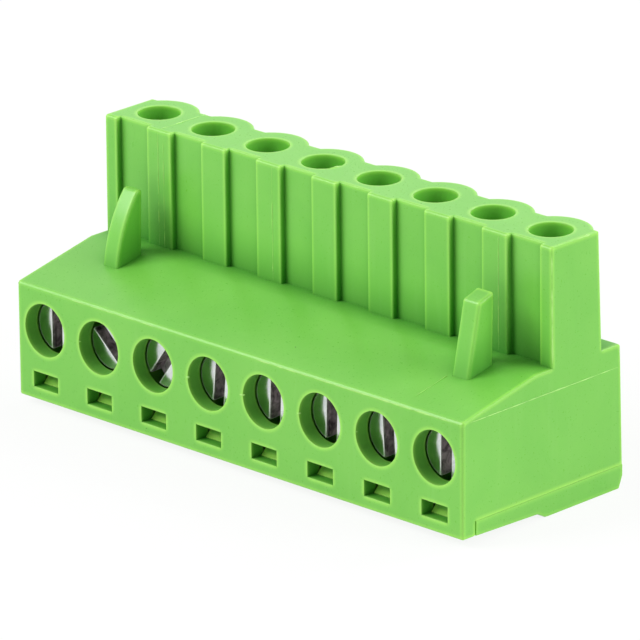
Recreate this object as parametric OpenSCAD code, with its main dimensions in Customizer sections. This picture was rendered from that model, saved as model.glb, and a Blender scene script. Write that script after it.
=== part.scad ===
// Pluggable terminal block, eight poles, with rising-cage screw clamps.
// It rests on its wire-entry face: screws face -Y, pin sockets open +Z.
// Sizes are in mm. X and Y are zero at the middle of the footprint, Z at its foot.
// Inside each module y is first counted from the screw face, then shifted by seated().

/* [Overall] */
// distance from one pole to the next
pitch = 5.08; // [5.04:0.01:5.16]
// depth from the screw face to the back, at the foot
body_depth = 15.18; // [15.1:0.02:15.4]
// height from the wire-entry face to the tower top
body_height = 18.2; // [18:0.1:18.8]
// height of the sloping shoulder's front edge
front_height = 8.55; // [8.5:0.05:8.8]
// height of the flat shoulder and of the back ledge
shoulder_height = 10; // [9.95:0.05:10.2]
// depth at which the slope turns into the flat shoulder
slope_depth = 6.9; // [6.6:0.1:7.4]
// height of the parting line of the mould, where the end faces are widest
parting_height = 8.45; // [8.2:0.05:8.5]
// inward draft of each end face over the full height
end_draft = 0.1; // [0.02:0.01:0.2]
// how much the back of the body leans in between the seam and the ledge
back_draft = 0.25; // [0.05:0.01:0.3]
// small chamfer on the long moulded edges
edge = 0.12; // [0.05:0.01:0.15]

/* [Screw face] */
// thickness of the wall the screw holes pass through
front_wall = 1.2; // [1.1:0.05:1.25]
// foot of the front wall above the wire-entry face
front_foot = 0.58; // [0.5:0.02:0.7]
// height of the screw axis
screw_height = 5.64; // [5.6:0.01:5.7]
// radius of the screw hole
hole_radius = 1.84; // [1.83:0.01:1.88]
// width of the latch window
window_width = 2.27; // [2.2:0.01:2.4]
// foot of the latch window
window_foot = 1.44; // [1.4:0.02:1.5]
// height of the latch window
window_height = 1.09; // [1.06:0.01:1.16]

/* [Plug tower] */
// tower front measured from the screw face
tower_front = 8.44; // [8.4:0.02:8.5]
// tower back at its foot, between the round lobes
tower_back = 13.17; // [13.1:0.01:13.25]
// how much the tower back leans in towards the top
tower_draft = 0.24; // [0.05:0.01:0.3]
// width of the key groove in front of each socket
groove_width = 2.78; // [2.6:0.02:2.9]
// depth of the key groove
groove_depth = 0.42; // [0.36:0.02:0.44]
// radius of the round lobe behind each socket
lobe_radius = 2.6; // [2.56:0.01:2.64]
// lobe centre measured from the screw face
lobe_centre = 11.28; // [11.2:0.01:11.3]
// radius of the pin socket
socket_radius = 1.45; // [1.4:0.01:1.48]
// socket centre measured from the screw face
socket_centre = 11.08; // [11.05:0.01:11.11]
// length of the round socket before the contact chamber opens
socket_length = 1.4; // [1.2:0.1:1.5]

/* [Latch prongs] */
// middle of the left prong along the length
left_prong = -15.85; // [-15.9:0.05:-15.5]
// middle of the right prong along the length
right_prong = 16.05; // [15.9:0.05:16.3]
// thickness of the left, fin-shaped prong
fin_width = 1.38; // [1.3:0.02:1.5]
// thickness of the right, blunt prong
blunt_width = 1.48; // [1.4:0.02:1.56]
// front of the blunt prong at its root
prong_front = 4.28; // [4.2:0.02:4.4]
// back of each prong at its tip
prong_back = 6.8; // [6.7:0.02:6.9]
// how much the back of each prong leans forward towards its root
prong_taper = 0.2; // [0.1:0.02:0.3]
// how far the front of the blunt prong leans back
prong_lean = 1.1; // [1:0.02:1.2]
// tip height of the left, fin-shaped prong
left_tip = 14.45; // [14.3:0.05:14.6]
// tip height of the right, blunt prong
right_tip = 14.87; // [14.6:0.01:14.95]
// radius of the fin-shaped prong's front
fin_radius = 9.6; // [9:0.1:10.2]

/* [Wire cover] */
// height of the seam between housing and cover
seam_height = 1.6; // [1.56:0.02:1.62]
// underside of the cover just before the proud rim
cover_rise = 0.4; // [0.36:0.02:0.5]
// start of the proud rim round the wire entries
rim_start = 7.1; // [6.9:0.1:7.3]
// height of the chamfer along the back foot
back_chamfer = 0.85; // [0.7:0.05:0.9]
// wire opening along the length
wire_width = 3.2; // [3:0.05:3.3]
// wire opening along the depth
wire_depth = 3.05; // [2.9:0.05:3.1]
// flare of the wire opening on each side
wire_flare = 0.5; // [0.3:0.02:0.52]
// clearance between cover and housing where the cover snaps in
snap_gap = 0.1; // [0.08:0.01:0.12]
// how far each latch nose reaches into its window
nose_reach = 0.4; // [0.36:0.01:0.44]

/* [Clamp] */
// width of each pole's clamp chamber
chamber_width = 4.3; // [4.26:0.01:4.36]
// back of the clamp chamber measured from the screw face
chamber_back = 13.4; // [13.4:0.05:13.5]
// roof of the clamp chamber
chamber_top = 7.9; // [7.85:0.05:7.95]
// gap between the cage and the chamber walls
cage_gap = 0.15; // [0.1:0.01:0.16]
// side wall of the cage
cage_wall = 0.5; // [0.45:0.01:0.55]
// threaded front plate of the cage
cage_plate = 1.2; // [1:0.05:1.25]
// back plate of the cage, which lifts the wire
cage_floor = 0.8; // [0.7:0.05:0.85]
// screw core radius, thread left off
core_radius = 1.4; // [1.36:0.01:1.42]
// clearance between the core and the cage's threaded hole
thread_gap = 0.1; // [0.08:0.01:0.12]
// radius of the screw head
head_radius = 1.73; // [1.68:0.01:1.75]
// how far the head lies behind the screw face
head_inset = 1.15; // [1.1:0.01:1.2]
// length of the screw head
head_length = 1.8; // [1.7:0.02:1.82]
// width of the driver slot
slot_width = 0.86; // [0.8:0.01:0.9]
// depth of the driver slot
slot_depth = 1; // [0.8:0.05:1.1]

/* [Contact] */
// front of the current bar measured from the screw face
bar_front = 8.2; // [8.2:0.01:8.22]
// thickness of the contact strip
strip = 0.8; // [0.76:0.01:0.82]
// width of the contact strip
strip_width = 2.6; // [2.5:0.02:2.66]
// width of each tulip spring arm
arm_width = 2; // [1.8:0.05:2.2]
// half gap at the pinch between the two arms
pinch = 0.35; // [0.3:0.01:0.4]

/* [Hidden] */
pole_count = 8;
length = pole_count * pitch;
tiny = 0.01;
seat_roof = 9.4;                       // inner step the contact is pushed against
tower_wall = 0.54;                     // wall left behind each key groove
well_front = tower_front + groove_depth + tower_wall;
well_back = chamber_back - 0.65;
well_width = strip_width + 0.7;
bar_back = bar_front + strip;
cage_back = chamber_back - cage_gap;
cage_inner_back = cage_back - cage_floor;
cage_front = bar_front - cage_plate - cage_floor;
cage_top = chamber_top - cage_gap;
cage_foot = 3.3;
cage_width = chamber_width - 2 * cage_gap;
ledge_back = body_depth - back_draft;
prong_root = front_height - 0.2;       // prongs start inside the shoulder
fin_axis = 8.5;                        // height of the centre of the fin prong's curve
fin_flat = 0.47;                       // flat left at the fin prong's tip
blunt_foot = front_height + 0.8;       // where the blunt prong's front starts to lean
blunt_fall = 0.45;                     // fall of the blunt prong's tip towards the front
wire_centre = (bar_back + cage_inner_back) / 2;
cover_front = front_wall + snap_gap / 2;
collar_top = 2.4;
hook_top = 2.75;
hook_thick = 0.75;
nose_rise = 0.36;                      // height of the slanted lead-in on each nose
slot_turn = [0, -48, 36, 6, 3, 2, -3, 1];  // rest angle of each driver slot
green = [0.42, 0.76, 0.25];
nickel = [0.78, 0.78, 0.76];
tin = [0.80, 0.80, 0.78];

function pole_x(i) = (i - (pole_count - 1) / 2) * pitch;

// moves y = 0 from the screw face to the middle of the footprint
module seated() { translate([0, -body_depth / 2, 0]) children(); }

// a y-z outline drawn out along X, centred on X
module along_x(width) {
    rotate([90, 0, 90]) linear_extrude(width, center = true) children();
}

// an x-z outline drawn out along Y from y0 to y1
module along_y(y0, y1) {
    translate([0, y1, 0]) rotate([90, 0, 0]) linear_extrude(y1 - y0) children();
}

// a cylinder along Y
module rod_y(y0, y1, r, sides = 64) {
    translate([0, y0, 0]) rotate([-90, 0, 0]) cylinder(h = y1 - y0, r = r, $fn = sides);
}

// a plain box given by its low and high corners
module block(low, high) {
    translate(low) cube(high - low);
}

// wedges that give both end faces their draft away from the parting line
module end_draft_cuts() {
    lean_up = end_draft * (body_height - parting_height) / body_height;
    lean_down = end_draft * parting_height / body_height;
    for (side = [-1, 1]) {
        along_y(-1, body_depth + 1) polygon([
            [side * length / 2, parting_height],
            [side * (length / 2 - lean_up), body_height + tiny],
            [side * (length / 2 + 1), body_height + tiny],
            [side * (length / 2 + 1), parting_height]]);
        along_y(-1, body_depth + 1) polygon([
            [side * length / 2, parting_height],
            [side * (length / 2 + 1), parting_height],
            [side * (length / 2 + 1), -tiny],
            [side * (length / 2 - lean_down), -tiny]]);
        // chamfer down the front corner
        translate([side * length / 2, 0, 0]) rotate([0, 0, 45])
            cube([edge * sqrt(2), edge * sqrt(2), 4 * body_height], center = true);
    }
}

// sloping shoulder block with the open-bottomed clamp bay under it
module shoulder_block() {
    along_x(length) polygon([
        [0, front_foot], [0, front_height - edge],
        [edge, front_height + edge * 0.3],
        [slope_depth, shoulder_height],
        [ledge_back - edge, shoulder_height], [ledge_back, shoulder_height - edge],
        [body_depth, seam_height], [front_wall, seam_height], [front_wall, front_foot]]);
}

// upright plug tower: drafted wall with a round lobe behind every socket
module plug_tower() {
    foot = shoulder_height - 0.2;
    along_x(length) polygon([
        [tower_front, foot], [tower_front, body_height - edge],
        [tower_front + edge, body_height],
        [tower_back - tower_draft, body_height],
        [tower_back, foot]]);
    for (i = [0 : pole_count - 1])
        intersection() {
            translate([pole_x(i), lobe_centre, foot])
                cylinder(h = body_height - foot, r1 = lobe_radius + 0.06, r2 = lobe_radius, $fn = 96);
            block([pole_x(i) - pitch / 2, lobe_centre + 1.5, foot],
                  [pole_x(i) + pitch / 2, body_depth, body_height]);
        }
}

// fin-shaped latch prong, curved at the front and nearly upright at the back
module fin_prong() {
    rise = left_tip - fin_axis;
    centre_y = prong_back - fin_flat + sqrt(fin_radius * fin_radius - rise * rise);
    front = centre_y - fin_radius - edge;
    intersection() {
        along_x(fin_width) polygon([
            [front, prong_root], [front, left_tip],
            [prong_back, left_tip], [prong_back - prong_taper, prong_root]]);
        translate([-fin_width, centre_y, fin_axis]) rotate([0, 90, 0])
            cylinder(h = 2 * fin_width, r = fin_radius, $fn = 192);
    }
}

// blunt latch prong: a straight leaning front and a slanted tip
module blunt_prong() {
    along_x(blunt_width) polygon([
        [prong_front, prong_root], [prong_front, blunt_foot],
        [prong_front + prong_lean, right_tip - blunt_fall],
        [prong_back, right_tip], [prong_back - prong_taper, prong_root]]);
}

// everything cut out of the housing for one pole
module pole_cuts() {
    // key groove in the tower front
    block([-groove_width / 2, tower_front - 1, shoulder_height],
          [groove_width / 2, tower_front + groove_depth, body_height + 1]);
    // screw hole
    translate([0, 0, screw_height]) rod_y(-1, front_wall + 0.2, hole_radius);
    // latch window
    block([-window_width / 2, -1, window_foot],
          [window_width / 2, front_wall + 0.2, window_foot + window_height]);
    // clamp chamber, open at the foot
    block([-chamber_width / 2, front_wall, seam_height - 1],
          [chamber_width / 2, chamber_back, chamber_top]);
    // passage for the contact with the step it seats against
    block([-well_width / 2, bar_front - 0.1, chamber_top - 0.1],
          [well_width / 2, well_back, seat_roof]);
    // contact well up the tower
    block([-well_width / 2, well_front, seat_roof - 0.1],
          [well_width / 2, well_back, body_height - socket_length]);
    // round pin socket
    translate([0, socket_centre, body_height - socket_length - 0.1])
        cylinder(h = socket_length + 1, r = socket_radius, $fn = 64);
}

module housing() {
    color(green) seated() difference() {
        union() {
            shoulder_block();
            plug_tower();
            translate([left_prong, 0, 0]) fin_prong();
            translate([right_prong, 0, 0]) blunt_prong();
        }
        for (i = [0 : pole_count - 1]) translate([pole_x(i), 0, 0]) pole_cuts();
        end_draft_cuts();
    }
}

// straight wire throat that flares at the wire-entry face
module wire_throat() {
    flare_top = 0.75;
    half_w = wire_width / 2;
    half_d = wire_depth / 2;
    block([-half_w, wire_centre - half_d, -1], [half_w, wire_centre + half_d, collar_top + 1]);
    intersection() {
        along_y(wire_centre - half_d - 1, wire_centre + half_d + 1) polygon([
            [-half_w - wire_flare, -tiny], [half_w + wire_flare, -tiny],
            [half_w - tiny, flare_top], [-half_w + tiny, flare_top]]);
        along_x(wire_width + 2) polygon([
            [wire_centre - half_d - wire_flare, -tiny], [wire_centre + half_d + wire_flare, -tiny],
            [wire_centre + half_d - tiny, flare_top], [wire_centre - half_d + tiny, flare_top]]);
    }
}

// snap hook: a tab whose slanted nose rests on the sill of its latch window
module snap_hook() {
    hook_w = window_width - 2 * snap_gap;
    hook_front = front_wall + snap_gap / 2;
    nose_tip = front_wall - nose_reach;
    along_x(hook_w) polygon([
        [hook_front, seam_height - 0.3], [hook_front, window_foot], [nose_tip, window_foot],
        [nose_tip, window_foot + 0.06], [hook_front - 0.05, window_foot + 0.06 + nose_rise],
        [hook_front + 0.1, hook_top - 0.25], [hook_front + 0.3, hook_top],
        [front_wall + hook_thick, hook_top],
        [front_wall + hook_thick + 0.25, seam_height - 0.3]]);
}

module wire_cover() {
    color(green) seated() difference() {
        union() {
            along_x(length) polygon([
                [cover_front, front_foot], [rim_start, cover_rise], [rim_start + 0.65, 0.02],
                [rim_start + 0.9, 0], [body_depth - 0.35, 0],
                [body_depth, back_chamfer], [body_depth, seam_height], [cover_front, seam_height]]);
            for (i = [0 : pole_count - 1]) translate([pole_x(i), 0, 0]) {
                snap_hook();
                // locating collar that fills the chamber mouth round the throat
                block([-chamber_width / 2 + snap_gap, bar_front + 0.3, seam_height - 0.3],
                      [chamber_width / 2 - snap_gap, chamber_back - snap_gap, collar_top]);
            }
        }
        for (i = [0 : pole_count - 1]) translate([pole_x(i), 0, 0]) wire_throat();
        end_draft_cuts();
    }
}

// captive slotted screw; its thread pulls the cage towards the head
module clamp_screw(i) {
    head_back = head_inset + head_length;
    tip = bar_front - 0.12;
    color(nickel) seated() translate([pole_x(i), 0, screw_height]) difference() {
        rotate([-90, 0, 0]) rotate_extrude($fn = 64) polygon([
            [0, head_inset], [head_radius - 0.08, head_inset], [head_radius, head_inset + 0.08],
            [head_radius, head_back], [core_radius, head_back],
            [core_radius, tip - 0.35], [core_radius - 0.35, tip], [0, tip]]);
        rotate([0, slot_turn[i], 0])
            block([-slot_width / 2, head_inset - 1, -head_radius - 1],
                  [slot_width / 2, head_inset + slot_depth, head_radius + 1]);
    }
}

// rising cage: strip folded to a box, open top and foot, ribbed where it grips the wire
module clamp_cage(i) {
    w = cage_width / 2;
    c = 0.3;
    color(nickel) seated() translate([pole_x(i), 0, 0]) difference() {
        translate([0, 0, cage_foot]) linear_extrude(cage_top - cage_foot) polygon([
            [-w + c, cage_front], [w - c, cage_front], [w, cage_front + c], [w, cage_back - c],
            [w - c, cage_back], [-w + c, cage_back], [-w, cage_back - c], [-w, cage_front + c]]);
        block([-w + cage_wall, cage_front + cage_plate, cage_foot - 1],
              [w - cage_wall, cage_inner_back, cage_top + 1]);
        translate([0, 0, screw_height])
            rod_y(cage_front - 1, cage_front + cage_plate + 0.2, core_radius + thread_gap);
        // wire ribs
        for (k = [-1 : 1]) translate([0, 0, screw_height + k * 0.9])
            block([-w + cage_wall, cage_inner_back - tiny, -0.15],
                  [w - cage_wall, cage_inner_back + 0.15, 0.15]);
    }
}

// one strip bent from the current bar to the seat, with two tulip arms for the pin
module contact(i) {
    seat = seat_roof - strip;
    well_top = body_height - socket_length;
    color(tin) seated() translate([pole_x(i), 0, 0]) union() {
        along_x(strip_width) polygon([
            [bar_front, cage_foot + 0.2], [bar_back, cage_foot + 0.2], [bar_back, seat],
            [well_back - 0.05, seat], [well_back - 0.05, seat_roof], [bar_front, seat_roof]]);
        for (side = [-1, 1])
            along_y(socket_centre - arm_width / 2, socket_centre + arm_width / 2) polygon([
                [side * 0.88, seat + 0.2], [side * 1.28, seat + 0.2],
                [side * (pinch + 0.4), well_top - 2], [side * 1.25, well_top - 0.4],
                [side * 0.95, well_top - 0.25], [side * pinch, well_top - 1.9]]);
    }
}

module screw_1() { clamp_screw(0); }
module screw_2() { clamp_screw(1); }
module screw_3() { clamp_screw(2); }
module screw_4() { clamp_screw(3); }
module screw_5() { clamp_screw(4); }
module screw_6() { clamp_screw(5); }
module screw_7() { clamp_screw(6); }
module screw_8() { clamp_screw(7); }
module clamp_cage_1() { clamp_cage(0); }
module clamp_cage_2() { clamp_cage(1); }
module clamp_cage_3() { clamp_cage(2); }
module clamp_cage_4() { clamp_cage(3); }
module clamp_cage_5() { clamp_cage(4); }
module clamp_cage_6() { clamp_cage(5); }
module clamp_cage_7() { clamp_cage(6); }
module clamp_cage_8() { clamp_cage(7); }
module contact_1() { contact(0); }
module contact_2() { contact(1); }
module contact_3() { contact(2); }
module contact_4() { contact(3); }
module contact_5() { contact(4); }
module contact_6() { contact(5); }
module contact_7() { contact(6); }
module contact_8() { contact(7); }

housing();
wire_cover();
screw_1();
screw_2();
screw_3();
screw_4();
screw_5();
screw_6();
screw_7();
screw_8();
clamp_cage_1();
clamp_cage_2();
clamp_cage_3();
clamp_cage_4();
clamp_cage_5();
clamp_cage_6();
clamp_cage_7();
clamp_cage_8();
contact_1();
contact_2();
contact_3();
contact_4();
contact_5();
contact_6();
contact_7();
contact_8();
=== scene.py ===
import math

import bmesh
import bpy
from mathutils import Matrix, Vector, noise


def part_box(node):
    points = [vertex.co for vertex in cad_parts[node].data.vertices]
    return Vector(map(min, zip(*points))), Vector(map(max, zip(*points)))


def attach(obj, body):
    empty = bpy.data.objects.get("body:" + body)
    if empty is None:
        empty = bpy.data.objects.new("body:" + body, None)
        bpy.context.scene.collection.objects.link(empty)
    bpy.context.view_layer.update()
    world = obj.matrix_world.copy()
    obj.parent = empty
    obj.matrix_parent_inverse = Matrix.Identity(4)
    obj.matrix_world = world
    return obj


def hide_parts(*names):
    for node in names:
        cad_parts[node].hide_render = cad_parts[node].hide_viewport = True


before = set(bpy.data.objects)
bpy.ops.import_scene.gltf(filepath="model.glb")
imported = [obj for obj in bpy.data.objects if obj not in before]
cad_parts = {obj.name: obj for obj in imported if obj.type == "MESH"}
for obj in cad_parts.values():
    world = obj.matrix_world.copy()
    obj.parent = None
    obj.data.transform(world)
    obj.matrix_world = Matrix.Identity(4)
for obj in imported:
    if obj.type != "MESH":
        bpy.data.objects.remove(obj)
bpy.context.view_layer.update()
print("frame loaded")

# lengths are in millimetres and are scaled to metres when a piece is finished
toMetres = 0.001
toMillimetres = 1000
poles = range(1, 9)
flatGap = 0.002     # points this close to a plane lie on it
mergeGap = 0.004    # points this close together become one
edgeGap = 0.01      # edges this close to a corner, seam or rim lie on it


def deselectAll():
    bpy.ops.object.select_all(action="DESELECT")


def makeActive(piece):
    deselectAll()
    piece.select_set(True)
    bpy.context.view_layer.objects.active = piece


def boxOf(nodeName):
    low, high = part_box(nodeName)
    return low * toMillimetres, high * toMillimetres


def applyModifiers(piece):
    makeActive(piece)
    for modifier in list(piece.modifiers):
        bpy.ops.object.modifier_apply(modifier=modifier.name)


# cuts the flat faces that lie at one depth or height along planes across X,
# and marks the cuts as seams
def splitFlatFaces(piece, axis, place, cuts):
    for x in cuts:
        bpy.ops.mesh.select_all(action="DESELECT")
        bpy.ops.object.mode_set(mode="OBJECT")
        corners = piece.data.vertices
        for face in piece.data.polygons:
            heights = [corners[index].co[axis] for index in face.vertices]
            face.select = all(abs(height - place) < flatGap for height in heights)
        bpy.ops.object.mode_set(mode="EDIT")
        bpy.ops.mesh.bisect(plane_co=(x, 0, 0), plane_no=(1, 0, 0))
        bpy.ops.mesh.mark_seam(clear=False)


# a merged copy of a CAD node, in millimetres, with its flat triangles joined to whole faces;
# splits lists flat faces full of holes, which are cut through the holes, so that no face
# keeps a hole inside it
def copyOfNode(nodeName, pieceName, splits=()):
    piece = bpy.data.objects.new(pieceName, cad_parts[nodeName].data.copy())
    bpy.context.scene.collection.objects.link(piece)
    piece.data.transform(Matrix.Scale(toMillimetres, 4))
    piece.data.materials.clear()
    makeActive(piece)
    bpy.ops.mesh.customdata_custom_splitnormals_clear()
    bpy.ops.object.mode_set(mode="EDIT")
    bpy.ops.mesh.select_all(action="SELECT")
    bpy.ops.mesh.remove_doubles(threshold=mergeGap)
    bpy.ops.mesh.select_mode(type="FACE")
    for axis, place, cuts in splits:
        splitFlatFaces(piece, axis, place, cuts)
    bpy.ops.mesh.select_all(action="SELECT")
    bpy.ops.mesh.dissolve_limited(angle_limit=math.radians(0.5), delimit={"SEAM"})
    bpy.ops.mesh.select_all(action="DESELECT")
    bpy.ops.object.mode_set(mode="OBJECT")
    return piece


# rounds edges by a weighted bevel: widthFor gives each edge its own width from its ends and
# its turn, which is above zero where the edge stands out and below zero in an inner corner
def roundEdges(piece, segments, widthFor):
    mesh = bmesh.new()
    mesh.from_mesh(piece.data)
    widths = {}
    for edge in mesh.edges:
        if len(edge.link_faces) == 2:
            turn = math.degrees(edge.calc_face_angle_signed(0))
            widths[edge.index] = widthFor(edge.verts[0].co, edge.verts[1].co, turn)
    widest = max(widths.values())
    layer = mesh.edges.layers.float.new("bevel_weight_edge")
    mesh.edges.ensure_lookup_table()
    for index, width in widths.items():
        mesh.edges[index][layer] = width / widest
    mesh.to_mesh(piece.data)
    mesh.free()
    bevel = piece.modifiers.new("round", "BEVEL")
    bevel.limit_method = "WEIGHT"
    bevel.width = widest
    bevel.segments = segments
    bevel.use_clamp_overlap = False
    applyModifiers(piece)


# smooth shading that keeps big faces flat, then metres
def finishPiece(piece, materials, bodyName, replaced=()):
    makeActive(piece)
    bpy.ops.object.shade_smooth_by_angle(angle=math.radians(42))
    weighted = piece.modifiers.new("weighted", "WEIGHTED_NORMAL")
    weighted.mode = "FACE_AREA"
    weighted.keep_sharp = True
    applyModifiers(piece)
    piece.data.transform(Matrix.Scale(toMetres, 4))
    piece.data.update()
    places = [face.material_index for face in piece.data.polygons]
    piece.data.materials.clear()
    for material in materials:
        piece.data.materials.append(material)
    for face, place in zip(piece.data.polygons, places):
        face.material_index = min(place, len(materials) - 1)
    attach(piece, bodyName)
    for nodeName in replaced:
        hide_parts(nodeName)
    return piece


stageLook = {
    "cameraPlace": (366.03, -375.61, 196.38),
    "cameraTurn": (70.306, 0.633, 44.002),
    "lens": 477.5,
    "floorSize": 4.0,
    "floorGrey": 0.82,      # what the floor throws back at the block
    "floorGlow": 0.86,      # how far the visible floor is pure white
    "floorWhite": 1.03,
    "skyLevel": 0.33,
}


# 1 where the camera or a reflection looks straight at the floor or the sky, which are then white
def seenDirectly(tree):
    path = tree.nodes.new("ShaderNodeLightPath")
    either = tree.nodes.new("ShaderNodeMath")
    either.operation = "MAXIMUM"
    tree.links.new(path.outputs["Is Camera Ray"], either.inputs[0])
    tree.links.new(path.outputs["Is Glossy Ray"], either.inputs[1])
    return either.outputs[0]


def buildFloorMaterial():
    white = bpy.data.materials.new("floorWhite")
    white.use_nodes = True
    nodes = white.node_tree.nodes
    link = white.node_tree.links.new
    shader = nodes["Principled BSDF"]
    grey = stageLook["floorGrey"]
    shader.inputs["Base Color"].default_value = (grey, grey, grey, 1)
    shader.inputs["Roughness"].default_value = 0.9
    shader.inputs["Specular IOR Level"].default_value = 0.0
    glow = nodes.new("ShaderNodeEmission")
    glow.inputs["Strength"].default_value = stageLook["floorWhite"]
    share = nodes.new("ShaderNodeMath")
    share.operation = "MULTIPLY"
    share.inputs[1].default_value = stageLook["floorGlow"]
    mix = nodes.new("ShaderNodeMixShader")
    link(seenDirectly(white.node_tree), share.inputs[0])
    link(share.outputs[0], mix.inputs[0])
    link(shader.outputs[0], mix.inputs[1])
    link(glow.outputs[0], mix.inputs[2])
    link(mix.outputs[0], nodes["Material Output"].inputs[0])
    return white


def buildCamera():
    scene = bpy.context.scene
    scene.view_settings.view_transform = "Standard"
    camera = bpy.data.objects.new("studioCamera", bpy.data.cameras.new("studioCamera"))
    scene.collection.objects.link(camera)
    camera.location = Vector(stageLook["cameraPlace"]) * toMetres
    camera.rotation_euler = [math.radians(turn) for turn in stageLook["cameraTurn"]]
    camera.data.lens = stageLook["lens"]
    camera.data.sensor_width = 36
    camera.data.clip_start = 0.01
    scene.camera = camera


def buildFloor():
    deselectAll()
    bpy.ops.mesh.primitive_plane_add(size=stageLook["floorSize"], location=(0, 0, 0))
    floor = bpy.context.active_object
    floor.name = "studioFloor"
    floor.data.materials.append(buildFloorMaterial())


def buildSky():
    world = bpy.data.worlds.new("studioSky")
    bpy.context.scene.world = world
    world.use_nodes = True
    nodes = world.node_tree.nodes
    link = world.node_tree.links.new
    sky = nodes["Background"]
    sky.inputs["Color"].default_value = (1, 1, 1, 1)
    sky.inputs["Strength"].default_value = stageLook["skyLevel"]
    seen = nodes.new("ShaderNodeBackground")
    seen.inputs["Color"].default_value = (1, 1, 1, 1)
    seen.inputs["Strength"].default_value = 1.0
    mix = nodes.new("ShaderNodeMixShader")
    link(seenDirectly(world.node_tree), mix.inputs[0])
    link(sky.outputs[0], mix.inputs[1])
    link(seen.outputs[0], mix.inputs[2])
    link(mix.outputs[0], nodes["World Output"].inputs[0])


# each softbox: which way it lies from the block, how high in degrees, how far, its size, and
# how brightly it lights a white card that faces it, where 1 is white
softboxes = {
    "leftBox": {"side": (-0.62, -0.78), "height": 40, "far": 500, "size": 300, "level": 0.74},
    "rightBox": {"side": (0.94, 0.34), "height": 26, "far": 500, "size": 260, "level": 0.47},
    "backBox": {"side": (0.15, 0.99), "height": 35, "far": 500, "size": 300, "level": 0.38},
}


def buildLights():
    for name, box in softboxes.items():
        lamp = bpy.data.lights.new(name, "AREA")
        lamp.shape = "SQUARE"
        lamp.size = box["size"] * toMetres
        lamp.energy = box["level"] * (math.pi * box["far"] * toMetres) ** 2
        holder = bpy.data.objects.new(name, lamp)
        bpy.context.scene.collection.objects.link(holder)
        rise = math.radians(box["height"])
        side = Vector((*box["side"], 0)).normalized() * math.cos(rise)
        way = Vector((side.x, side.y, math.sin(rise)))
        holder.location = way * box["far"] * toMetres
        holder.rotation_euler = way.to_track_quat("Z", "Y").to_euler()


buildCamera()
buildFloor()
buildSky()
buildLights()
print("stage and lights ready")


def addNode(tree, kind, place, **settings):
    node = tree.nodes.new(kind)
    node.location = place
    for key, value in settings.items():
        setattr(node, key, value)
    return node


def setInputs(node, values):
    for key, value in values.items():
        node.inputs[key].default_value = value


def newGroup(name, inputs, outputs):
    group = bpy.data.node_groups.new(name, "ShaderNodeTree")
    for label, kind, value in inputs:
        socket = group.interface.new_socket(label, in_out="INPUT", socket_type="NodeSocket" + kind)
        if value is not None:
            socket.default_value = value
    for label, kind in outputs:
        group.interface.new_socket(label, in_out="OUTPUT", socket_type="NodeSocket" + kind)
    start = addNode(group, "NodeGroupInput", (-900, 0))
    end = addNode(group, "NodeGroupOutput", (700, 0))
    return group, start, end


# cloudy flow marks and a fine satin grain, shared by every moulded or plated surface
def surfaceGroup():
    group, start, end = newGroup(
        "surfaceDetail",
        [("Vector", "Vector", None), ("Cloud Scale", "Float", 120.0),
         ("Grain Scale", "Float", 5000.0), ("Scratch Scale", "Float", 900.0)],
        [("Cloud", "Float"), ("Grain", "Float"), ("Scratch", "Float")])
    cloud = addNode(group, "ShaderNodeTexNoise", (-400, 250))
    setInputs(cloud, {"Detail": 4.0, "Roughness": 0.55, "Distortion": 0.6})
    grain = addNode(group, "ShaderNodeTexNoise", (-400, 0))
    setInputs(grain, {"Detail": 3.0, "Roughness": 0.6})
    stretch = addNode(group, "ShaderNodeMapping", (-600, -250))
    stretch.inputs["Scale"].default_value = (1.0, 1.0, 0.08)
    scratch = addNode(group, "ShaderNodeTexNoise", (-400, -250))
    setInputs(scratch, {"Detail": 2.0, "Roughness": 0.5, "Distortion": 0.2})
    narrow = addNode(group, "ShaderNodeMapRange", (-100, -250))
    setInputs(narrow, {"From Min": 0.58, "From Max": 0.72})
    link = group.links.new
    link(start.outputs["Vector"], cloud.inputs["Vector"])
    link(start.outputs["Vector"], grain.inputs["Vector"])
    link(start.outputs["Vector"], stretch.inputs["Vector"])
    link(stretch.outputs["Vector"], scratch.inputs["Vector"])
    link(start.outputs["Cloud Scale"], cloud.inputs["Scale"])
    link(start.outputs["Grain Scale"], grain.inputs["Scale"])
    link(start.outputs["Scratch Scale"], scratch.inputs["Scale"])
    link(scratch.outputs["Fac"], narrow.inputs["Value"])
    link(cloud.outputs["Fac"], end.inputs["Cloud"])
    link(grain.outputs["Fac"], end.inputs["Grain"])
    link(narrow.outputs["Result"], end.inputs["Scratch"])
    return group


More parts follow.
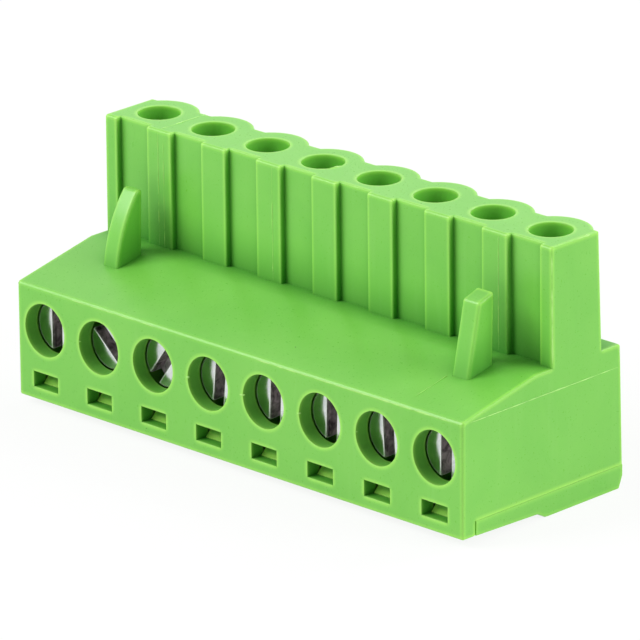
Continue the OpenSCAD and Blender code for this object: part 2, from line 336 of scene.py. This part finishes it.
# painted light: thin edges are painted pale, a painted glow and highlight where light would shine
# through or catch them, and deep corners and recesses are painted rich and dark, a painted shade
# found by ambient occlusion
def paintedGlowShadeGroup():
    group, start, end = newGroup(
        "paintedGlowAndShade",
        [("Color", "Color", (0.5, 0.5, 0.5, 1)), ("Painted Glow Color", "Color", (0.8, 0.8, 0.8, 1)),
         ("Painted Shade Tint", "Color", (0.5, 0.5, 0.5, 1)), ("Painted Glow Reach", "Float", 0.0004),
         ("Painted Glow Amount", "Float", 0.7), ("Painted Shade Reach", "Float", 0.003),
         ("Painted Shade Amount", "Float", 1.0)],
        [("Color", "Color"), ("Edge", "Float"), ("Open", "Float")])
    link = group.links.new
    occlusion = "ShaderNodeAmbientOcclusion"
    within = addNode(group, occlusion, (-650, 200), inside=True, only_local=True)
    around = addNode(group, occlusion, (-650, -150), inside=False, only_local=True)
    link(start.outputs["Painted Glow Reach"], within.inputs["Distance"])
    link(start.outputs["Painted Shade Reach"], around.inputs["Distance"])
    # painted glow: the inward occlusion finds the edges that are painted pale
    edge = addNode(group, "ShaderNodeMapRange", (-420, 200))
    setInputs(edge, {"From Min": 0.97, "From Max": 0.58, "To Min": 0.0, "To Max": 1.0})
    link(within.outputs["AO"], edge.inputs["Value"])
    paintedGlowShare = addNode(group, "ShaderNodeMath", (-200, 200), operation="MULTIPLY")
    link(edge.outputs["Result"], paintedGlowShare.inputs[0])
    link(start.outputs["Painted Glow Amount"], paintedGlowShare.inputs[1])
    # painted shade: the outward occlusion finds the corners and recesses that are painted dark
    paintedShadeMask = addNode(group, "ShaderNodeMapRange", (-420, -150))
    setInputs(paintedShadeMask, {"From Min": 0.97, "From Max": 0.25, "To Min": 0.0, "To Max": 1.0})
    link(around.outputs["AO"], paintedShadeMask.inputs["Value"])
    paintedShadeShare = addNode(group, "ShaderNodeMath", (-200, -150), operation="MULTIPLY")
    link(paintedShadeMask.outputs["Result"], paintedShadeShare.inputs[0])
    link(start.outputs["Painted Shade Amount"], paintedShadeShare.inputs[1])
    paintedGlowMix = addNode(group, "ShaderNodeMix", (50, 150), data_type="RGBA")
    link(paintedGlowShare.outputs[0], paintedGlowMix.inputs[0])
    link(start.outputs["Color"], paintedGlowMix.inputs[6])
    link(start.outputs["Painted Glow Color"], paintedGlowMix.inputs[7])
    paintedShadeMix = addNode(group, "ShaderNodeMix", (50, -150), data_type="RGBA")
    paintedShadeMix.inputs[6].default_value = (1, 1, 1, 1)
    link(paintedShadeShare.outputs[0], paintedShadeMix.inputs[0])
    link(start.outputs["Painted Shade Tint"], paintedShadeMix.inputs[7])
    both = addNode(group, "ShaderNodeMix", (300, 0), data_type="RGBA", blend_type="MULTIPLY")
    both.inputs[0].default_value = 1.0
    link(paintedGlowMix.outputs[2], both.inputs[6])
    link(paintedShadeMix.outputs[2], both.inputs[7])
    link(both.outputs[2], end.inputs["Color"])
    link(paintedGlowShare.outputs[0], end.inputs["Edge"])
    link(around.outputs["AO"], end.inputs["Open"])
    return group


detailGroup = surfaceGroup()
paintedGlowAndShade = paintedGlowShadeGroup()


# a look gives the two colours that the clouds blend, the colour of scratches, the painted glow
# colour of edges and the painted shade tint of corners, the span of roughness and the bumps; the
# dull share takes the metal out of the painted edges, so that they show a painted highlight
def buildMaterial(name, look):
    material = bpy.data.materials.new(name)
    material.use_nodes = True
    tree = material.node_tree
    link = tree.links.new
    shader = tree.nodes["Principled BSDF"]
    place = addNode(tree, "ShaderNodeTexCoord", (-1100, 0))
    detail = addNode(tree, "ShaderNodeGroup", (-900, 0), node_tree=detailGroup)
    setInputs(detail, {"Cloud Scale": look["cloudScale"], "Grain Scale": look["grainScale"],
                       "Scratch Scale": look["scratchScale"]})
    link(place.outputs["Object"], detail.inputs["Vector"])
    spread = addNode(tree, "ShaderNodeMapRange", (-700, 250))
    setInputs(spread, {"From Min": 0.35, "From Max": 0.65})
    link(detail.outputs["Cloud"], spread.inputs["Value"])
    blend = addNode(tree, "ShaderNodeMix", (-520, 250), data_type="RGBA")
    blend.inputs[6].default_value = (*look["colourLow"], 1)
    blend.inputs[7].default_value = (*look["colourHigh"], 1)
    link(spread.outputs["Result"], blend.inputs[0])
    streak = addNode(tree, "ShaderNodeMix", (-340, 250), data_type="RGBA")
    streak.inputs[7].default_value = (*look["scratchColour"], 1)
    streakShare = addNode(tree, "ShaderNodeMath", (-520, 450), operation="MULTIPLY")
    streakShare.inputs[1].default_value = look["scratchAmount"]
    link(detail.outputs["Scratch"], streakShare.inputs[0])
    link(streakShare.outputs[0], streak.inputs[0])
    link(blend.outputs[2], streak.inputs[6])
    # painted light: this group paints the edge glow and the corner shade into the base colour
    paintedGlowAndShadeNode = addNode(tree, "ShaderNodeGroup", (-160, 250), node_tree=paintedGlowAndShade)
    paintedGlowAndShadeNode.inputs["Painted Glow Color"].default_value = (*look["paintedGlowColour"], 1)
    paintedGlowAndShadeNode.inputs["Painted Shade Tint"].default_value = (*look["paintedShadeTint"], 1)
    setInputs(paintedGlowAndShadeNode, {"Painted Glow Reach": look["paintedGlowReach"] * toMetres, "Painted Glow Amount": look["paintedGlowAmount"],
                     "Painted Shade Reach": look["paintedShadeReach"] * toMetres,
                     "Painted Shade Amount": look["paintedShadeAmount"]})
    link(streak.outputs[2], paintedGlowAndShadeNode.inputs["Color"])
    link(paintedGlowAndShadeNode.outputs["Color"], shader.inputs["Base Color"])
    rough = addNode(tree, "ShaderNodeMapRange", (-520, 0))
    setInputs(rough, {"From Min": 0.3, "From Max": 0.7,
                      "To Min": look["roughLow"], "To Max": look["roughHigh"]})
    link(detail.outputs["Grain"], rough.inputs["Value"])
    dull = addNode(tree, "ShaderNodeMapRange", (-160, -50))
    setInputs(dull, {"From Min": 0.95, "From Max": 0.35,
                     "To Min": 0.0, "To Max": look["cornerRough"]})
    link(paintedGlowAndShadeNode.outputs["Open"], dull.inputs["Value"])
    allRough = addNode(tree, "ShaderNodeMath", (0, 0), operation="ADD")
    link(rough.outputs["Result"], allRough.inputs[0])
    link(dull.outputs["Result"], allRough.inputs[1])
    link(allRough.outputs[0], shader.inputs["Roughness"])
    swell = addNode(tree, "ShaderNodeBump", (-700, -250))
    setInputs(swell, {"Strength": look["swellBump"], "Distance": look["swellDepth"] * toMetres})
    link(detail.outputs["Cloud"], swell.inputs["Height"])
    fine = addNode(tree, "ShaderNodeBump", (-520, -250))
    setInputs(fine, {"Strength": look["grainBump"], "Distance": look["grainDepth"] * toMetres})
    link(detail.outputs["Grain"], fine.inputs["Height"])
    link(swell.outputs["Normal"], fine.inputs["Normal"])
    scored = addNode(tree, "ShaderNodeBump", (-340, -250), invert=True)
    setInputs(scored, {"Strength": look["scratchBump"], "Distance": look["grainDepth"] * toMetres})
    link(detail.outputs["Scratch"], scored.inputs["Height"])
    link(fine.outputs["Normal"], scored.inputs["Normal"])
    link(scored.outputs["Normal"], shader.inputs["Normal"])
    setInputs(shader, look["shader"])
    # painted highlight: metal is taken out where the painted edge glow lies, so the pale edge
    # colour shows as a bright rim
    if look["paintedGlowDull"] > 0:
        metal = addNode(tree, "ShaderNodeMapRange", (0, 200))
        setInputs(metal, {"To Min": look["shader"]["Metallic"],
                          "To Max": look["shader"]["Metallic"] * (1 - look["paintedGlowDull"])})
        link(paintedGlowAndShadeNode.outputs["Edge"], metal.inputs["Value"])
        link(metal.outputs["Result"], shader.inputs["Metallic"])
    return material


# the moulded green plastic; colours are linear, reaches and depths are in millimetres. Its edge
# colour is a painted glow at thin edges and its corner tint is painted shade in corners and
# recesses
greenLook = {
    "colourLow": (0.195, 0.600, 0.076), "colourHigh": (0.225, 0.640, 0.090),
    "scratchColour": (0.30, 0.70, 0.16), "scratchAmount": 0.12,
    "paintedGlowColour": (0.50, 0.96, 0.15), "paintedGlowReach": 0.36, "paintedGlowAmount": 0.64,
    "paintedShadeTint": (0.05, 0.32, 0.0), "paintedShadeReach": 3.2, "paintedShadeAmount": 0.95,
    "cornerRough": 0.4, "paintedGlowDull": 0.0,
    "cloudScale": 130.0, "grainScale": 6000.0, "scratchScale": 1500.0,
    "roughLow": 0.26, "roughHigh": 0.38, "grainBump": 0.12, "grainDepth": 0.01,
    "scratchBump": 0.05, "swellBump": 0.3, "swellDepth": 0.05,
    "shader": {"Metallic": 0.0, "IOR": 1.53, "Specular IOR Level": 0.42, "Subsurface Weight": 0.15,
               "Subsurface Radius": (0.5, 1.0, 0.25), "Subsurface Scale": 0.0004},
}
# painted shade: copies of the green for the bore walls, painted darker and with little reflection,
# and for the socket walls, with their own lighter painted shade
boreShadeLook = dict(greenLook, paintedShadeTint=(0.0, 0.12, 0.0), paintedShadeReach=4.0, paintedShadeAmount=1.0,
                cornerRough=0.5, shader=dict(greenLook["shader"], **{"Specular IOR Level": 0.08}))
socketShadeLook = dict(boreShadeLook, paintedShadeTint=(0.12, 0.66, 0.0), paintedShadeReach=2.5)
coverLook = dict(greenLook, paintedGlowAmount=0.3)
# painted glow: the thin flash beads are painted paler and yellower than the moulding, where light
# would shine through them
flashGlowLook = dict(greenLook, colourLow=(0.28, 0.72, 0.12), colourHigh=(0.46, 0.90, 0.21),
                 paintedGlowColour=(0.54, 0.95, 0.26), paintedGlowAmount=0.5, paintedShadeAmount=0.2)
speckLook = dict(greenLook, colourLow=(0.03, 0.06, 0.02), colourHigh=(0.10, 0.14, 0.05),
                 paintedGlowColour=(0.14, 0.2, 0.08), paintedGlowAmount=0.3, roughLow=0.6, roughHigh=0.8)
# the nickel's near-white edge colour is a painted highlight on rims and edges, and its grey corner
# tint is painted shade in corners and the slot
nickelLook = {
    "colourLow": (0.52, 0.58, 0.56), "colourHigh": (0.76, 0.78, 0.78),
    "scratchColour": (0.40, 0.38, 0.38), "scratchAmount": 0.3,
    "paintedGlowColour": (0.94, 0.94, 0.93), "paintedGlowReach": 0.17, "paintedGlowAmount": 1.0,
    "paintedShadeTint": (0.35, 0.34, 0.35), "paintedShadeReach": 0.8, "paintedShadeAmount": 0.6,
    "cornerRough": 0.1, "paintedGlowDull": 0.9,
    "cloudScale": 700.0, "grainScale": 9000.0, "scratchScale": 6000.0,
    "roughLow": 0.08, "roughHigh": 0.20, "grainBump": 0.08, "grainDepth": 0.004,
    "scratchBump": 0.2, "swellBump": 0.3, "swellDepth": 0.01,
    "shader": {"Metallic": 1.0},
}
# painted shade: the slot walls are painted darker than the head, mottled with dark and light
# streaks
slotShadeLook = dict(nickelLook, colourLow=(0.20, 0.17, 0.19), colourHigh=(0.80, 0.73, 0.76),
                scratchColour=(0.09, 0.07, 0.08), scratchAmount=0.85, scratchScale=2600.0,
                cloudScale=1500.0, paintedGlowAmount=0.3, paintedShadeAmount=0.15, roughLow=0.42,
                roughHigh=0.6, scratchBump=0.5)
cageLook = dict(nickelLook, colourLow=(0.60, 0.59, 0.56), colourHigh=(0.74, 0.73, 0.70),
                roughLow=0.22, roughHigh=0.38)
tinLook = dict(nickelLook, colourLow=(0.66, 0.65, 0.62), colourHigh=(0.80, 0.79, 0.77),
               roughLow=0.28, roughHigh=0.45)

green = buildMaterial("mouldedGreen", greenLook)
boreShadeGreen = buildMaterial("shadedBoreGreen", boreShadeLook)
socketShadeGreen = buildMaterial("shadedSocketGreen", socketShadeLook)
coverGreen = buildMaterial("mouldedCoverGreen", coverLook)
flashGlowGreen = buildMaterial("thinFlashPaintedGlow", flashGlowLook)
speckDark = buildMaterial("darkSpeck", speckLook)
nickel = buildMaterial("nickelPlate", nickelLook)
slotShadeMetal = buildMaterial("slotPaintedShade", slotShadeLook)
cageMetal = buildMaterial("cageNickel", cageLook)
tin = buildMaterial("tinPlate", tinLook)
print("materials ready")

housingLow, housingHigh = boxOf("housing")
screwLow, screwHigh = boxOf("screw_1")
pitch = (housingHigh.x - housingLow.x) / len(poles)


def poleX(pole):
    return (pole - (len(poles) + 1) / 2) * pitch


housingShape = {
    # rounds, by the place of the edge
    "outerRound": 0.12,
    "socketRound": 0.08,
    "boreRound": 0.04,
    "windowRound": 0.06,
    "cornerRound": 0.082,   # turns each narrow corner chamfer into one soft round
    "chamferRound": 0.055,
    "seamRound": 0.03,
    "prongRound": 0.18,
    "valleyRound": 0.16,    # inner corners behind the tower
    # degrees by which an edge turns
    "softTurn": 18,         # gentler edges stay as they are
    "prongTurn": 40,
    "chamferTurns": (43, 47),
    "sharpTurn": 50,
    # places
    "seamHeight": 1.6,
    "towerFront": 0.85,
    "valleyGap": 2.0,       # the valleys lie this far behind the front of the tower
    "valleyLength": 3.0,    # and are longer than this
    "prongFrom": 9.3,       # prong edges lie above this height
    "prongGap": 0.3,        # and this far in front of the tower
    "windowBand": (1.2, 2.6),
    "windowEnd": 0.5,       # windows stay this far from the ends
    "boreBand": (3.7, 7.6),
    "boreHeight": 5.64,
    "boreRadius": 1.84,
    "boreDepth": 1.3,
    "boreStep": 0.6,        # edges round a bore are shorter than this
    "socketMiddle": 3.49,   # along the depth
    "socketRadius": 1.45,
    "socketBand": (1.1, 2.5),   # socket rims lie this far from the tower's front and back
    "socketStep": 1.0,
    "socketFrom": 16.0,     # socket walls above this height are in view
    "wallSlack": 0.02,      # faces of a round wall lie this close to its radius
}


def onSeam(a, b):
    seam = housingShape["seamHeight"]
    return max(abs(a.z - seam), abs(b.z - seam)) < edgeGap


def onFront(a, b):
    return max(a.y, b.y) < housingLow.y + edgeGap


def onProng(a, b):
    inFront = max(a.y, b.y) < housingShape["towerFront"] - housingShape["prongGap"]
    return inFront and min(a.z, b.z) > housingShape["prongFrom"]


def onSocket(a, b):
    front, back = housingShape["socketBand"]
    onTop = min(a.z, b.z) > housingHigh.z - edgeGap
    between = housingShape["towerFront"] + front < (a.y + b.y) / 2 < housingHigh.y - back
    return onTop and between and (b - a).length < housingShape["socketStep"]


def inWindow(a, b):
    low, high = housingShape["windowBand"]
    inside = max(abs(a.x), abs(b.x)) < housingHigh.x - housingShape["windowEnd"]
    return onFront(a, b) and inside and max(a.z, b.z) < high and min(a.z, b.z) > low


def onBore(a, b):
    short = (b - a).length < housingShape["boreStep"]
    return onFront(a, b) and short and max(a.z, b.z) < housingShape["boreBand"][1]


def inValley(a, b):
    behind = min(a.y, b.y) > housingShape["towerFront"] + housingShape["valleyGap"]
    rise = abs(a.z - b.z)
    return behind and rise > 0.9 * (b - a).length and rise > housingShape["valleyLength"]


def housingWidth(a, b, turn):
    shape = housingShape
    if abs(turn) < shape["softTurn"]:
        return 0
    if onSeam(a, b):
        return shape["seamRound"]
    if turn < 0:
        return shape["valleyRound"] if inValley(a, b) else 0
    if onProng(a, b):
        return shape["prongRound"] if turn > shape["prongTurn"] else shape["chamferRound"]
    if inWindow(a, b):
        return shape["windowRound"]
    if onSocket(a, b):
        return shape["socketRound"]
    if onBore(a, b):
        return shape["boreRound"]
    if turn > shape["sharpTurn"]:
        return shape["outerRound"]
    low, high = shape["chamferTurns"]
    return shape["cornerRound"] if low < turn < high else shape["chamferRound"]


# the walls of the screw bores and of the pin sockets get their own materials, painted in a shade of
# their own
def markShade(shell):
    shape = housingShape
    low, high = shape["boreBand"]
    boreReach = shape["boreRadius"] + shape["wallSlack"]
    socketReach = shape["socketRadius"] + shape["wallSlack"]
    for face in shell.data.polygons:
        middle = face.center
        side = abs((middle.x - housingLow.x) % pitch - pitch / 2)
        alongDepth, alongHeight = abs(face.normal.y) < 0.3, abs(face.normal.z) < 0.3
        inFront = middle.y < housingLow.y + shape["boreDepth"] and low < middle.z < high
        if inFront and alongDepth and math.hypot(side, middle.z - shape["boreHeight"]) < boreReach:
            face.material_index = 1
        elif middle.z > shape["socketFrom"] and alongHeight:
            if math.hypot(side, middle.y - shape["socketMiddle"]) < socketReach:
                face.material_index = 2


def buildHousing():
    cuts = [poleX(pole) for pole in poles]
    holedFaces = ((1, housingLow.y, cuts), (2, housingHigh.z, cuts))
    shell = copyOfNode("housing", "housingShell", holedFaces)
    roundEdges(shell, 3, housingWidth)
    finishes = [green, boreShadeGreen, socketShadeGreen]
    for material in finishes:
        shell.data.materials.append(material)
    markShade(shell)
    return finishPiece(shell, finishes, "block", ["housing"])


coverShape = {
    "edgeRound": 0.05,
    "hookFrom": 1.4,        # the snap hooks stand above this height
    "hookDepth": 2.2,       # and lie this near the front, deep in their windows
}


def coverWidth(a, b, turn):
    if abs(turn) < housingShape["softTurn"]:
        return 0
    if onSeam(a, b):
        return housingShape["seamRound"]
    return coverShape["edgeRound"] if turn > 0 else 0


def buildCover():
    cover = copyOfNode("wire_cover", "wireCover")
    roundEdges(cover, 2, coverWidth)
    finishes = [coverGreen, boreShadeGreen]
    for material in finishes:
        cover.data.materials.append(material)
    # painted shade: the snap hooks deep in their windows take the bores' painted shade
    for face in cover.data.polygons:
        nearFront = face.center.y < housingLow.y + coverShape["hookDepth"]
        if nearFront and face.center.z > coverShape["hookFrom"]:
            face.material_index = 1
    return finishPiece(cover, finishes, "block", ["wire_cover"])


buildHousing()
buildCover()
print("mouldings ready")

# each screw keeps the slot angle of its solid; the thread is a ridge on its shank
screwShape = {
    "headRadius": 1.79,     # the head all but fills its bore
    "headDepth": 1.8,
    "headFrom": 1.6,        # points further out than this belong to the head's wall
    "rimRound": 0.08,
    "rimDepth": 0.12,
    "slotRound": 0.085,
    "slotDepth": 1.0,
    "slotMargin": 0.05,     # slot walls stay this far inside the head
    "threadGap": 0.25,      # between the head and the first turn
    "threadPitch": 0.5,
    "threadHalf": 0.2,      # half the width of the ridge at its root
    "threadCrest": 1.475,
    "threadRoot": 1.36,
    "threadTurns": 9,
    "threadSteps": 24,
}
solidHeadRadius = (screwHigh.x - screwLow.x) / 2


# marks the walls of the slot, which are painted in the slot's painted shade
def markSlotShade(screw, centre):
    margin = screwShape["slotMargin"]
    front = screwLow.y + margin
    floor = screwLow.y + screwShape["slotDepth"] + 0.02
    for face in screw.data.polygons:
        middle = face.center
        outward = Vector((middle.x - centre.x, 0, middle.z - centre.z))
        inside = front < middle.y < floor and outward.length < solidHeadRadius - margin
        if inside and outward.normalized().dot(face.normal) < 0.9:
            face.material_index = 1


# a small triangle is turned along the shank, closed at both ends and joined to the screw
def addThread(screw, centre):
    shape = screwShape
    deselectAll()
    start = screwLow.y + shape["headDepth"] + shape["threadGap"]
    bpy.ops.mesh.primitive_circle_add(vertices=3, radius=0.1, fill_type="NGON", location=(0, 0, 0))
    ridge = bpy.context.active_object
    ridge.name = "threadRidge"
    root, crest, half = shape["threadRoot"], shape["threadCrest"], shape["threadHalf"]
    corners = ((root, -half), (crest, 0), (root, half))
    for vertex, (radius, along) in zip(ridge.data.vertices, corners):
        vertex.co = (radius, start + along, 0)
    turn = ridge.modifiers.new("turn", "SCREW")
    turn.axis = "Y"
    turn.steps = shape["threadSteps"]
    turn.screw_offset = shape["threadPitch"]
    turn.iterations = shape["threadTurns"]
    applyModifiers(ridge)
    bpy.ops.object.mode_set(mode="EDIT")
    bpy.ops.mesh.select_all(action="SELECT")
    bpy.ops.mesh.remove_doubles(threshold=0.0005)
    bpy.ops.mesh.select_all(action="DESELECT")
    bpy.ops.mesh.select_mode(type="EDGE")
    bpy.ops.mesh.select_non_manifold()
    bpy.ops.mesh.edge_face_add()
    bpy.ops.mesh.select_all(action="SELECT")
    bpy.ops.mesh.normals_make_consistent(inside=False)
    bpy.ops.object.mode_set(mode="OBJECT")
    ridge.data.transform(Matrix.Translation((centre.x, 0, centre.z)))
    deselectAll()
    ridge.select_set(True)
    screw.select_set(True)
    bpy.context.view_layer.objects.active = screw
    bpy.ops.object.join()


def screwWidth(a, b, turn):
    if abs(turn) < 30:
        return 0
    atRim = max(a.y, b.y) < screwLow.y + screwShape["rimDepth"] and abs(a.y - b.y) < edgeGap
    return screwShape["rimRound"] if atRim and turn > 40 else screwShape["slotRound"]


def widenHead(screw, centre):
    for vertex in screw.data.vertices:
        x, z = vertex.co.x - centre.x, vertex.co.z - centre.z
        radius = math.hypot(x, z)
        if radius > screwShape["headFrom"]:
            stretch = 1 + (screwShape["headRadius"] - solidHeadRadius) / radius
            vertex.co.x = centre.x + x * stretch
            vertex.co.z = centre.z + z * stretch


def buildScrew(pole):
    nodeName = "screw_%d" % pole
    low, high = boxOf(nodeName)
    centre = (low + high) / 2
    screw = copyOfNode(nodeName, "clampScrew_%d" % pole)
    widenHead(screw, centre)
    roundEdges(screw, 2, screwWidth)
    finishes = [nickel, slotShadeMetal]
    for material in finishes:
        screw.data.materials.append(material)
    markSlotShade(screw, centre)
    addThread(screw, centre)
    finishPiece(screw, finishes, nodeName, [nodeName])


clampShape = {
    "cageRound": 0.06,
    "contactRound": 0.05,
    "sharpTurn": 50,
}


def buildClamp(pole):
    cage = copyOfNode("clamp_cage_%d" % pole, "risingCage_%d" % pole)
    roundEdges(cage, 2, lambda a, b, turn:
               clampShape["cageRound"] if abs(turn) > clampShape["sharpTurn"] else 0)
    finishPiece(cage, [cageMetal], "cage_%d" % pole, ["clamp_cage_%d" % pole])
    contact = copyOfNode("contact_%d" % pole, "tulipContact_%d" % pole)
    roundEdges(contact, 2, lambda a, b, turn:
               clampShape["contactRound"] if abs(turn) > clampShape["sharpTurn"] else 0)
    finishPiece(contact, [tin], "block", ["contact_%d" % pole])


for pole in poles:
    buildScrew(pole)
    buildClamp(pole)
print("metalwork ready")

# flash and witness lines left by the mould, as thin irregular beads half sunk in the surface
markShape = {
    "step": 0.3,            # length of one wave along a bead
    "thin": 0.25,           # thinnest share of a bead's radius
    "ragged": 1.7,          # how much the radius varies
    "tip": 0.15,            # share of the radius at a bead's ends
    "cornerGap": 0.2,       # beads stop this far short of a corner
    "partingHeight": 8.45,
    "endLean": 0.0055,      # how far the end faces lean in, per millimetre off the parting line
    "towerFoot": 10.0,
    "slopeFoot": 8.59,
    "slopeRise": 0.2085,
    "slopeLine": (15.1, 0.9, 4.2),          # x, and depths from the front
    "lipSpan": (4.4, 3.1),                  # distances from the back
    "frontSpans": {"frontEdgeFlash": (1.5, 19.82, 0.032),       # from x, to x, radius
                   "frontEdgeFlashLeft": (-15.5, -6.0, 0.02)},
    "witnessPlaces": (-15.3, -14.8, -4.7, 15.6),
    "holeNicks": {2: 0.12, 4: 0.14, 5: 0.3, 6: 0.16, 7: 0.12},  # pole and length
    "burrTurns": (-60, 70),                 # start and span in degrees
    "beadRadius": {"parting": 0.023, "corner": 0.04, "lip": 0.05, "witness": 0.02,
                   "top": 0.022, "slope": 0.018, "nick": 0.045, "burr": 0.05},
}
beadRadius = markShape["beadRadius"]


# lays a subdivided thin cylinder along placeAt, which gives a point and two side directions
def addBead(name, length, radius, placeAt):
    deselectAll()
    bpy.ops.mesh.primitive_cylinder_add(vertices=6, radius=radius, depth=length, location=(0, 0, 0))
    bead = bpy.context.active_object
    bead.name = name
    bpy.ops.object.mode_set(mode="EDIT")
    bpy.ops.mesh.select_all(action="DESELECT")
    bpy.ops.object.mode_set(mode="OBJECT")
    for edge in bead.data.edges:
        low, high = (bead.data.vertices[index].co.z for index in edge.vertices)
        edge.select = abs(high - low) > length / 2
    bpy.ops.object.mode_set(mode="EDIT")
    bpy.ops.mesh.subdivide(number_cuts=max(3, round(length / markShape["step"])))
    bpy.ops.object.mode_set(mode="OBJECT")
    seed = sum(ord(letter) for letter in name)
    for vertex in bead.data.vertices:
        share = vertex.co.z / length + 0.5
        wave = noise.noise(Vector((share * length / markShape["step"] * 0.7, seed * 1.37, 0.5)))
        size = max(markShape["thin"], 1 + wave * markShape["ragged"])
        size *= max(markShape["tip"], min(1, 12 * min(share, 1 - share)))
        point, sideA, sideB = placeAt(share)
        vertex.co = point + sideA * vertex.co.x * size + sideB * vertex.co.y * size
    bpy.ops.object.mode_set(mode="EDIT")
    bpy.ops.mesh.select_all(action="SELECT")
    bpy.ops.mesh.normals_make_consistent(inside=False)
    bpy.ops.object.mode_set(mode="OBJECT")
    finishPiece(bead, [flashGlowGreen], "block")


def addLine(name, start, end, radius):
    start, end = Vector(start), Vector(end)
    along = (end - start).normalized()
    sideA = along.orthogonal().normalized()
    sideB = along.cross(sideA)
    addBead(name, (end - start).length, radius,
            lambda share: (start.lerp(end, share), sideA, sideB))


def endFaceX(side, height):
    lean = abs(height - markShape["partingHeight"]) * markShape["endLean"]
    return side * (housingHigh.x - lean)


def buildEndMarks():
    shape = markShape
    gap = shape["cornerGap"]
    front, back, top = housingLow.y, housingHigh.y, housingHigh.z
    height = shape["partingHeight"]
    for side, label in ((-1, "left"), (1, "right")):
        x = endFaceX(side, height)
        addLine("partingLine_" + label, (x, front + gap, height), (x, back - 2 * gap, height),
                beadRadius["parting"])
    foot = shape["towerFoot"]
    sunk = 0.045        # the bead follows the middle of the rounded corner
    tower = housingShape["towerFront"] + sunk
    addLine("towerCornerFlash", (endFaceX(1, foot) - sunk, tower, foot + gap),
            (endFaceX(1, top) - sunk, tower, top - gap), beadRadius["corner"])
    lipX, lipHeight = endFaceX(1, top) - 0.03, top - 0.04
    lipFrom, lipTo = shape["lipSpan"]
    addLine("towerTopLip", (lipX, back - lipFrom, lipHeight), (lipX, back - lipTo, lipHeight),
            beadRadius["lip"])


def slopeHeight(y):
    return markShape["slopeFoot"] + (y - housingLow.y) * markShape["slopeRise"]


def buildFrontMarks():
    shape = markShape
    gap = shape["cornerGap"]
    front, tower, top = housingLow.y, housingShape["towerFront"], housingHigh.z
    edgeY, edgeHeight = front + 0.01, shape["partingHeight"] - 0.02
    for name, (left, right, radius) in shape["frontSpans"].items():
        addLine(name, (left, edgeY, edgeHeight), (right, edgeY, edgeHeight), radius)
    for number, x in enumerate(shape["witnessPlaces"]):
        addLine("witnessLine_%d" % (number + 1), (x, tower, shape["towerFoot"] + 0.1),
                (x, tower, top - gap), beadRadius["witness"])
    topX = -3 * pitch
    addLine("topWitnessLine", (topX, tower + 0.15, top), (topX, housingHigh.y - 2.2, top),
            beadRadius["top"])
    x, near, far = shape["slopeLine"]
    addLine("slopeWitnessLine", (x, front + near, slopeHeight(front + near)),
            (x, front + far, slopeHeight(front + far)), beadRadius["slope"])
    height = housingShape["boreHeight"]
    for pole, length in shape["holeNicks"].items():
        rim = poleX(pole) - housingShape["boreRadius"]
        addLine("holeNick_%d" % pole, (rim - length, front, height),
                (rim + 0.1, front + 0.1, height + 0.03), beadRadius["nick"])


def buildSocketBurr():
    radius = housingShape["socketRadius"]
    centre = Vector((-0.5 * pitch, housingShape["socketMiddle"], housingHigh.z - 0.02))
    start, span = (math.radians(turn) for turn in markShape["burrTurns"])

    def onRim(share):
        turn = start + span * share
        radial = Vector((math.cos(turn), math.sin(turn), 0))
        return centre + radial * radius, radial, Vector((0, 0, 1))

    addBead("socketBurr", radius * span, beadRadius["burr"], onRim)


buildEndMarks()
buildFrontMarks()
buildSocketBurr()
print("mould marks ready")

# dust and specks in the plastic: where each lies, as x, depth from the front and height,
# and its radius
speckPlaces = {
    "speck_1": ((7.62, 0.0, 6.3), 0.035),
    "speck_2": ((-8.3, 0.0, 1.1), 0.03),
    "speck_3": ((12.1, 0.0, 7.4), 0.025),
    "speck_4": ((3.4, 2.2, 9.05), 0.03),
}


def buildSpecks():
    for name, ((x, depth, height), radius) in speckPlaces.items():
        deselectAll()
        bpy.ops.mesh.primitive_ico_sphere_add(subdivisions=2, radius=radius,
                                              location=(x, housingLow.y + depth, height))
        speck = bpy.context.active_object
        speck.name = name
        makeActive(speck)
        bpy.ops.object.transform_apply(location=True, rotation=False, scale=False)
        for vertex in speck.data.vertices:
            vertex.co += Vector((1, 1, 1)) * noise.noise(vertex.co * 30) * radius * 0.5
        finishPiece(speck, [speckDark], "block")


buildSpecks()
print("specks ready")
